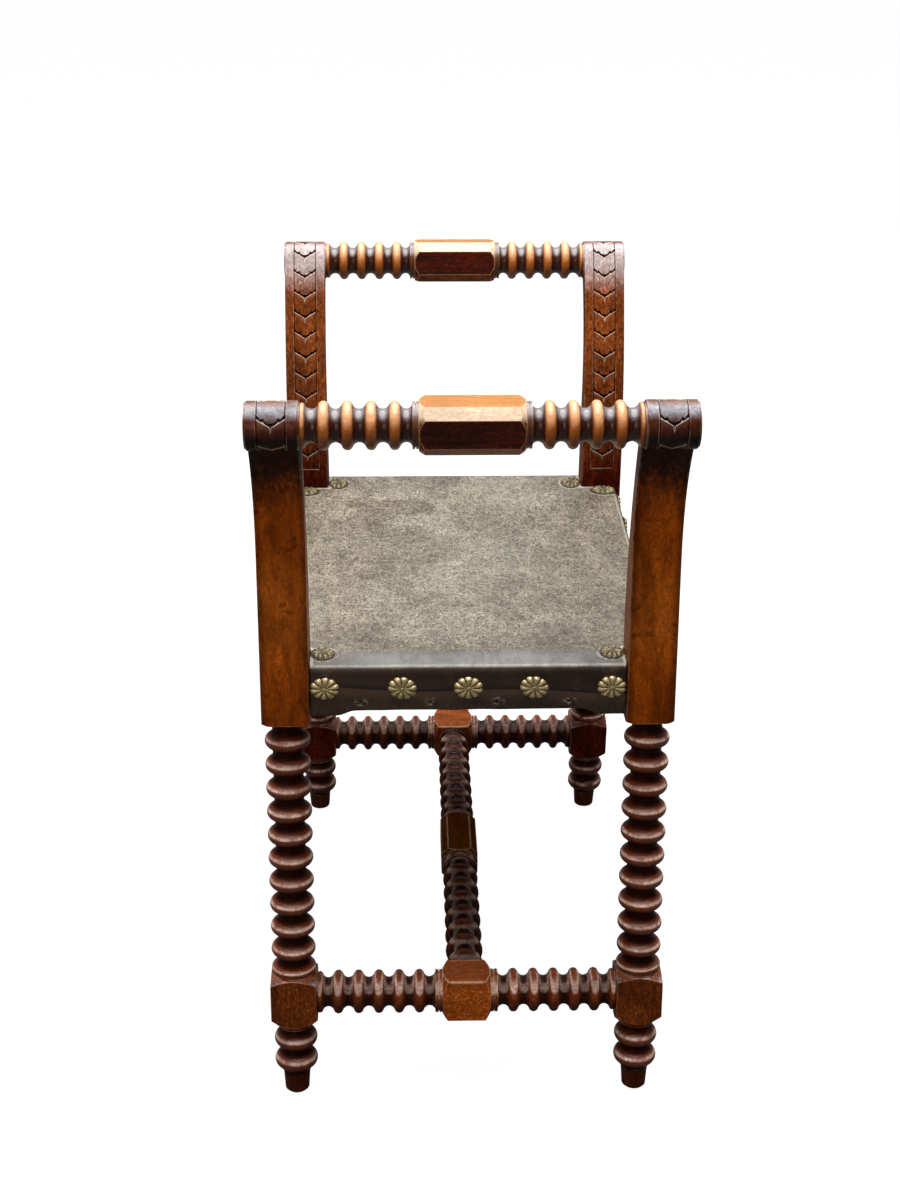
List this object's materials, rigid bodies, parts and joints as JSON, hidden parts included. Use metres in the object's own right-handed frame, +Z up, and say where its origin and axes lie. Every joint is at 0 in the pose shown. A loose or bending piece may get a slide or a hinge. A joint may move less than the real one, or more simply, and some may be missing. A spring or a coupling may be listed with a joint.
{
  "type": "stool with arms",
  "caption": "Turned-wood stool with scrolled arms joined by top rails, an H-shaped understretcher and a sagging leather seat fixed with rosette nails.",
  "frame": {"origin": "on the floor, under the middle of the stool", "axes": "+X across the stool, +Y along it from one arm to the other, +Z up"},
  "size_m": [0.3574, 0.592, 0.6729],
  "materials": {
    "post_wood": "varnished walnut, worn to a low gloss",
    "top_rail_wood": "varnished walnut with worn, paler crests",
    "stretcher_wood": "dark varnished walnut, worn",
    "seat_rail_wood": "bare planed wood",
    "webbing": "woven jute",
    "leather": "aged hide, finely cracked, satin",
    "nail_brass": "antique brass, worn bright on the petals",
    "tack_steel": "dull blued steel"
  },
  "bodies": {
    "root": {"post_far_right": "post_wood", "post_far_left": "post_wood", "post_near_right": "post_wood", "post_near_left": "post_wood", "top_rail_far": "top_rail_wood", "top_rail_near": "top_rail_wood", "cross_stretcher_far": "stretcher_wood", "cross_stretcher_near": "stretcher_wood", "long_stretcher": "stretcher_wood", "seat_rail_far": "seat_rail_wood", "seat_rail_near": "seat_rail_wood", "seat_rail_right": "seat_rail_wood", "seat_rail_left": "seat_rail_wood", "webbing_long_1": "webbing", "webbing_long_2": "webbing", "webbing_long_3": "webbing", "webbing_cross_1": "webbing", "webbing_cross_2": "webbing", "webbing_cross_3": "webbing", "webbing_cross_4": "webbing", "webbing_cross_5": "webbing", "webbing_tacks_far": "tack_steel", "webbing_tacks_near": "tack_steel", "webbing_tacks_right": "tack_steel", "webbing_tacks_left": "tack_steel", "leather_cover": "leather", "rosette_nails_far": "nail_brass", "rosette_nails_near": "nail_brass", "rosette_nails_right": "nail_brass", "rosette_nails_left": "nail_brass", "rosette_nails_corners": "nail_brass", "hem_tacks_far": "tack_steel", "hem_tacks_near": "tack_steel", "hem_tacks_right": "tack_steel", "hem_tacks_left": "tack_steel"}
  },
  "joints": []
}
